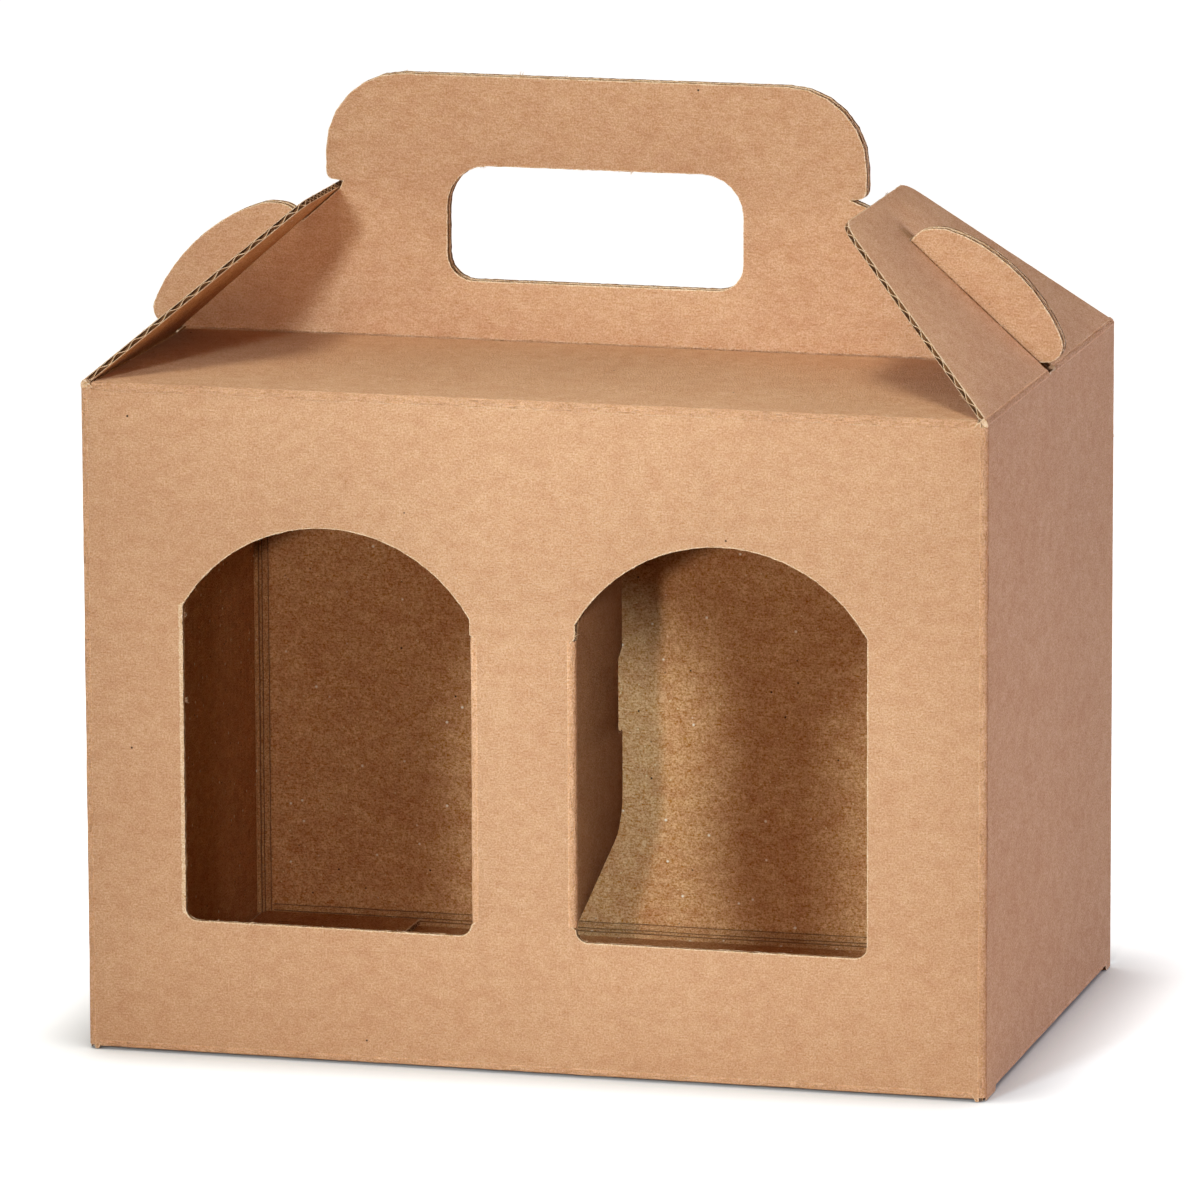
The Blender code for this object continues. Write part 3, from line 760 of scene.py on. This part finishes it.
def fray(rings, creases, across, chance):
    """Tufts of torn fibres along the cut edges: one curve with a strand for each fibre, made a mesh."""
    curve = bpy.data.curves.new("fibres", "CURVE")
    curve.dimensions = "3D"
    curve.bevel_depth = FRAY_THICK
    curve.bevel_resolution = 0
    curve.use_fill_caps = True
    for ring in rings:
        for index, point in enumerate(ring):
            draw = chance.random()
            if not is_raw(point, creases) or draw > FRAY_CHANCE:
                continue
            length, most = (TUFT_LENGTH, TUFT_MOST) if draw < TUFT_CHANCE else (FRAY_LENGTH, FRAY_MOST)
            ahead = (ring[(index + 1) % len(ring)] - ring[index - 1]).normalized().to_3d()
            outward = Vector((ahead.y, -ahead.x, 0))
            level = chance.choice((-LINER / 2, LINER / 2 - BOARD))
            for _ in range(chance.randint(most // 4, most)):
                root = Vector((point.x, point.y, level))
                root += ahead * chance.uniform(-ROOT_SPREAD, ROOT_SPREAD) * MM
                heading = (outward + ahead * chance.uniform(-LEAN, LEAN)).normalized()
                heading.z = chance.uniform(-RISE, RISE)
                strand = curve.splines.new("POLY")
                strand.points.add(FIBRE_STEPS)
                spot = root - outward * ROOT_DEPTH * MM
                for step, knot in enumerate(strand.points):
                    knot.co = (*spot, 1)
                    knot.radius = 1.0 - TAPER * step
                    curl = Vector([chance.uniform(-1, 1) for _ in range(3)]) * CURL
                    heading = (heading + curl).normalized()
                    spot = spot + heading * length / FIBRE_STEPS * chance.uniform(LEAST_SHARE, 1.0)
    item = bpy.data.objects.new("fibres", curve)
    bpy.context.scene.collection.objects.link(item)
    only(item)
    bpy.ops.object.convert(target="MESH")
    tufts = bpy.context.object
    paint(tufts, across)
    for face in tufts.data.polygons:
        face.material_index = CUT
    return tufts


# %% [markdown]
# ## The panels
# Each panel joins its two liners, its fluting and its fibres into one piece and takes the fixed panel's
# place. The base's panels aren't flat, so theirs are laid on the fixed skin by casting rays down. The
# handle's ears are pressed into their slots' ends, and so their upper ends are drawn a little longer.

# %% Panels
BENT = ("front_base_panel", "back_base_panel", "left_base_hook", "right_base_hook")
BOARD_SMOOTH = math.radians(35)
# An ear's upper end, measured up the lock flap, from where on it is stretched, and how far. Out of the
# flap the stretch fades away, and below the flap or past the ear's end there is none.
EAR_END = 47.6 * MM
EAR_FROM = 40 * MM
EAR_STRETCH = 2.1 * MM
EAR_FADE = (2 * MM, 8 * MM)
EAR_BELOW = 3 * MM
EAR_PAST = 2 * MM
# The left window's left edge is the leftmost cut between these heights that isn't the corner itself
EDGE_LOW = 50 * MM
EDGE_HIGH = 90 * MM
CORNER_MARGIN = 5 * MM


def drape(piece, node, matrix):
    """Lays the flat piece on the outer skin of a fixed panel that isn't flat."""
    mesh = skin_of(node, matrix)
    tree = BVHTree.FromBMesh(mesh)
    mesh.free()
    for vert in piece.data.vertices:
        hit = tree.ray_cast((vert.co.x, vert.co.y, 1), (0, 0, -1))[0]
        if hit is None:
            hit = tree.find_nearest((vert.co.x, vert.co.y, 0))[0]
        vert.co.z += hit.z


def smooth(value, low, high):
    """0 below low, 1 above high and a soft step between."""
    share = min(1.0, max(0.0, (value - low) / (high - low)))
    return share * share * (3 - 2 * share)


def wedged(point, matrix):
    """The point of a handle's outline, moved up if it is at the upper end of an ear."""
    spot = matrix @ Vector((point.x, point.y, 0))
    side = math.copysign(1, spot.x)
    up = Vector(lock_up(side))
    out = Vector((side * up.z, 0, -side * up.x))
    offset = spot - Vector((side * HALF_WIDTH, spot.y, HEIGHT))
    share = smooth(offset.dot(up), EAR_FROM, EAR_END) * (1 - smooth(offset.dot(out), *EAR_FADE))
    if offset.dot(out) < -EAR_BELOW or offset.dot(up) > EAR_END + EAR_PAST:
        share = 0
    moved = matrix.to_3x3().inverted() @ (up * EAR_STRETCH * share)
    return point + moved.xy


def left_window_edge(rings):
    """The X of the left window's straight left edge."""
    inner = [p for ring in rings for p in ring if abs(p.x) < HALF_WIDTH - CORNER_MARGIN]
    return min(p.x for p in inner if EDGE_LOW < p.y < EDGE_HIGH)


def cut_panel(node):
    """Makes one panel as board and puts it in the fixed panel's place."""
    body, across, matrix = PANELS[node]
    chance = random.Random(node)
    creases = CREASES[node]
    walked = [[cut_back(p, creases) for p in stepped(ring)] for ring in outlines(node, matrix)]
    if "handle" in node:
        walked = [[wedged(point, matrix) for point in ring] for ring in walked]
    fine = [thinned(ring) for ring in walked]
    peeled = left_window_edge(fine) if node == "front_panel" else None
    piece = prism("outer", fine, 0, -LINER, LINER_LEVELS, CUT_NOISE, chance, (OUTSIDE, FLUTING_AND_GROOVE_SHADE, CUT), 0,
                  peeled)
    inner = prism("inner", fine, LINER - BOARD, -BOARD, LINER_LEVELS, CUT_NOISE, chance,
                  (FLUTING_AND_GROOVE_SHADE, INSIDE, CUT), LINER_LEVELS)
    waves = fluting(fine, across)
    paint(piece, across)
    paint(inner, across)
    fibres = fray(fine, creases, across, chance)
    only(piece)
    for sheet in (inner, waves, fibres):
        sheet.select_set(True)
    bpy.ops.object.join()
    piece.name = node.replace("_panel", "").replace("_flap", "") + "_board"
    if node in BENT:
        drape(piece, node, matrix)
    piece.data.transform(matrix)
    only(piece)
    bpy.ops.object.shade_smooth_by_angle(angle=BOARD_SMOOTH)
    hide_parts(node)
    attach(piece, body)
    print(piece.name, len(piece.data.polygons), "faces")


for node in PANELS:
    cut_panel(node)

# %% [markdown]
# ## Folds
# A crease is a line where a blunt rule has crushed the flutes. When it is folded, the outer liner
# stretches round the edge and turns paler, and the inner liner is pushed up into a bead with a groove on
# each side. The fold's paper is made paler still as a painted highlight, and darker paper in the bead's
# grooves is painted shade. A fold here is a disc whose points are moved onto that section, extruded
# along the crease, subdivided, and made a little uneven. The folds between panels that move are built in
# place with their transform baked, and no body carries them.

# %% Fold sections
SKIN_LIFT = 0.015 * MM
TUCK = 0.7 * MM
SUNK = 0.06 * MM
FOLD_STEPS = 7
# The bead inside a corner: how far along the wall and how deep in mm, and the paper from there on. The dark
# fluting paper in its two grooves is painted shade.
BEAD = (
    (5.1, 1.54, INSIDE), (4.8, 1.76, INSIDE), (4.6, 1.80, FLUTING_AND_GROOVE_SHADE), (4.4, 1.56, INSIDE),
    (4.1, 1.95, INSIDE), (3.7, 2.26, INSIDE), (3.2, 2.20, INSIDE), (2.9, 2.16, FLUTING_AND_GROOVE_SHADE),
    (2.6, 2.40, INSIDE), (2.4, 2.44, INSIDE),
)


def fold_section(turn, radius, beaded):
    """Round the section: (up the first panel, out of its skin, paper of the side that starts there)."""
    angle = math.radians(turn)
    far = radius * math.tan(angle / 2)

    def second(along, out):
        """A point that far along the second panel and out of its skin."""
        up = -along * math.cos(angle) - out * math.sin(angle)
        return (up, -along * math.sin(angle) + out * math.cos(angle))

    # The outer side of the fold takes the fold paper, which carries a painted highlight
    points = [(far + TUCK, -SUNK, FOLD)]
    for step in range(FOLD_STEPS + 1):
        swing = angle * step / FOLD_STEPS
        lifted = radius + SKIN_LIFT
        points.append((far - lifted * math.sin(swing), lifted * math.cos(swing) - radius, FOLD))
    points.append((*second(far + TUCK, -SUNK), CUT))
    if beaded:
        points += [(*second(along * MM, -depth * MM), kind) for along, depth, kind in BEAD]
        points += [(along * MM, -depth * MM, kind) for along, depth, kind in BEAD[-2::-1]]
    else:
        points.append((*second(far + TUCK, SUNK - BOARD), INSIDE))
        inner = radius - BOARD
        for step in range(FOLD_STEPS, -1, -2):
            swing = angle * step / FOLD_STEPS
            points.append((far - inner * math.sin(swing), inner * math.cos(swing) - radius, INSIDE))
        points.append((far + TUCK, SUNK - BOARD, INSIDE))
    points[-1] = (*points[-1][:2], CUT)
    return points


# %% [markdown]
# ## Making a fold
# A bevel on the panels would round their edges too, but the panels are separate boards. So the section
# is extruded to the crease's length and cut across often enough to bend and to carry a slow wave.

# %% Fold pieces
RING_STEP = 2.5 * MM
FOLD_WAVE = 0.10 * MM
FOLD_WAVE_LENGTH = 7 * MM
FOLD_FUZZ = 0.03 * MM
# The fold is less uneven off its first panel than along it
OFF_SHARE = 0.5
# Each fold starts somewhere else in the noise, up to that far from its origin, for a wave of its own
NOISE_RANGE = 50
# Without a seed, Blender's noise takes one from the clock
NOISE_SEED = 1
noise.seed_set(NOISE_SEED)
FOLD_SMOOTH = math.radians(40)
# The papers of a fold whose inner side is seen from outside
INSIDE_OUT = {FOLD: INSIDE, INSIDE: OUTSIDE, CUT: CUT}


def bar(name, section, length, flipped):
    """A bar of that section along X, cut across often enough to bend."""
    bpy.ops.object.select_all(action="DESELECT")
    bpy.ops.mesh.primitive_circle_add(vertices=len(section), radius=MM, fill_type="NGON")
    piece = bpy.context.object
    piece.name = name
    for vert, (up, off, _) in zip(piece.data.vertices, section):
        vert.co = (0, up, off)
    bpy.ops.object.mode_set(mode="EDIT")
    bpy.ops.mesh.select_all(action="SELECT")
    bpy.ops.mesh.extrude_region_move(TRANSFORM_OT_translate={"value": (length, 0, 0)})
    bpy.ops.mesh.select_all(action="DESELECT")
    bpy.ops.object.mode_set(mode="OBJECT")
    count = len(section)
    middles = [
        Vector(((a[0] + b[0]) / 2, (a[1] + b[1]) / 2)) for a, b in zip(section, section[1:] + section[:1])
    ]
    for face in piece.data.polygons:
        face.material_index = CUT
        if len(face.vertices) == 4:
            spot = face.center.yz
            nearest = min(range(count), key=lambda index: (middles[index] - spot).length)
            sheet = section[nearest][2]
            face.material_index = INSIDE_OUT[sheet] if flipped else sheet
    for edge in piece.data.edges:
        low, high = (piece.data.vertices[index].co.x for index in edge.vertices)
        edge.select = abs(high - low) > length / 2
    bpy.ops.object.mode_set(mode="EDIT")
    bpy.ops.mesh.subdivide(number_cuts=max(2, round(length / RING_STEP)))
    bpy.ops.mesh.select_all(action="SELECT")
    bpy.ops.mesh.normals_make_consistent(inside=False)
    bpy.ops.object.mode_set(mode="OBJECT")
    return piece


def ring_order(vert):
    """The key that puts a fold's vertices in order: the ring along X, then where they are on the ring."""
    along, up, off = vert.co / MM
    return round(along), round(up, 3), round(off, 3)


def make_uneven(piece):
    """Gives a fold a slow wave and a fine roughness, the same ones each run."""
    chance = random.Random(piece.name)
    origin = Vector([chance.uniform(-NOISE_RANGE, NOISE_RANGE) for _ in range(3)])
    # Subdivide hands its vertices back in an order that changes from run to run
    for vert in sorted(piece.data.vertices, key=ring_order):
        wave = noise.noise_vector(origin + Vector(vert.co) / FOLD_WAVE_LENGTH) * FOLD_WAVE
        vert.co.y += wave.y + chance.uniform(-1, 1) * FOLD_FUZZ
        vert.co.z += wave.z * OFF_SHARE + chance.uniform(-1, 1) * FOLD_FUZZ * OFF_SHARE


def fold(name, across, bodies, start, into, out, length, turn, radius=FOLD_RADIUS, beaded=False,
         flipped=False):
    """A fold from start along the crease. into points into its first panel and out off that panel."""
    piece = bar(name, fold_section(turn, radius, beaded), length, flipped)
    make_uneven(piece)
    into = Vector(into).normalized()
    out = Vector(out).normalized()
    matrix = Matrix((into.cross(out), into, out)).transposed().to_4x4()
    matrix.translation = Vector(start)
    piece.data.transform(matrix)
    paint(piece, across)
    only(piece)
    bpy.ops.object.shade_smooth_by_angle(angle=FOLD_SMOOTH)
    if len(bodies) == 1:
        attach(piece, bodies[0])
        return
    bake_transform(piece)


# %% [markdown]
# ## Folds that stay
# The upright corners and the foot never move, and so these folds ride on the case. Those whose inside
# shows through the windows get the bead.

# %% Folds of the case
FRONT, BACK, LEFT, RIGHT, DOWN = (0, -1, 0), (0, 1, 0), (-1, 0, 0), (1, 0, 0), (0, 0, -1)
# The upright folds end a little short of the foot and of the top
FOLD_LOW = 1.2 * MM
FOLD_HIGH = HEIGHT - 1.4 * MM
TALL = FOLD_HIGH - FOLD_LOW
CASE = ("case",)
fold("front_left_fold", "X", CASE, (-HALF_WIDTH, -HALF_DEPTH, FOLD_HIGH), RIGHT, FRONT, TALL, 90,
     beaded=True)
fold("front_right_fold", "X", CASE, (HALF_WIDTH, -HALF_DEPTH, FOLD_LOW), LEFT, FRONT, TALL, 90,
     beaded=True)
fold("back_left_fold", "X", CASE, (-HALF_WIDTH, HALF_DEPTH, FOLD_LOW), RIGHT, BACK, TALL, 90,
     beaded=True)
fold("glue_fold", "X", CASE, (GLUE_SKIN, HALF_DEPTH, GLUE_HIGH), LEFT, BACK, GLUE_HIGH - GLUE_LOW, 90)
fold("front_foot_fold", "X", CASE, (-FRONT_BASE_HALF, -HALF_DEPTH, 0), UP, FRONT, 2 * FRONT_BASE_HALF,
     FOOT_TURNS["front_panel"])
fold("back_foot_fold", "X", CASE, (BACK_BASE_HALF, HALF_DEPTH, 0), UP, BACK, 2 * BACK_BASE_HALF,
     FOOT_TURNS["back_panel"], beaded=True)
HOOK_WIDTH = HOOK_BACK + HOOK_FRONT
fold("left_foot_fold", "Y", CASE, (-HALF_WIDTH, HOOK_BACK, 0), UP, LEFT, HOOK_WIDTH, HOOK_TURN)
fold("right_foot_fold", "Y", CASE, (HALF_WIDTH, -HOOK_FRONT, 0), UP, RIGHT, HOOK_WIDTH, HOOK_TURN)

# %% [markdown]
# ## Folds between panels that move
# Roof, lock flaps, handle and dividers swing on their creases. Each fold between two of them is built
# in place with its transform baked, and no body carries it. The handle's crease bends the other way,
# with its inside out.

# %% Folds that move
ROOF_TURN = 90 - math.degrees(ROOF_SLOPE)
for word, side, out in (("front", -1, FRONT), ("back", 1, BACK)):
    fold(word + "_roof_fold", "X", ("case", word + "_roof"), (-side * ROOF_HALF, side * HALF_DEPTH, HEIGHT),
         DOWN, out, 2 * ROOF_HALF, ROOF_TURN)
LOCK_RUN = LOCK_HALF - SLOT_HALF
for word, side, out, front, rear in (
    ("right", 1, RIGHT, -SLOT_HALF, LOCK_HALF),
    ("left", -1, LEFT, -LOCK_HALF, SLOT_HALF),
):
    for end, place in (("front", front), ("rear", rear)):
        fold(word + "_lock_fold_" + end, "Y", ("case", word + "_lock"), (side * HALF_WIDTH, place, HEIGHT),
             DOWN, out, LOCK_RUN, LOCK_TURN)
for side, crease, into in (("right", RIGHT_CREASE, LEFT), ("left", LEFT_CREASE, RIGHT)):
    foot = DIVIDER_LOW if side == "right" else DIVIDER_HIGH
    fold(side + "_divider_fold", "X", ("case", side + "_divider"), (crease, -HALF_DEPTH, foot), into, FRONT,
         DIVIDER_HIGH - DIVIDER_LOW, 90)
# The part of a roof panel, from there up, that is as wide as its top
TOP_SHARE = 0.9
for word, side in (("front", -1), ("back", 1)):
    node = word + "_roof_panel"
    rings = outlines(node, PANELS[node][2])
    half = max(p.x for ring in rings for p in ring if p.y > TOP_SHARE * ROOF_TOP)
    downhill = -Vector(roof_up(side))
    under = Vector((0, -side * math.sin(ROOF_SLOPE), -math.cos(ROOF_SLOPE)))
    fold(word + "_handle_fold", "X", (word + "_roof", word + "_handle"),
         (side * half, side * PLY_GAP / 2, HANDLE_TURN), downhill, under, 2 * half, ROOF_TURN,
         radius=BOARD + VALLEY, flipped=True)
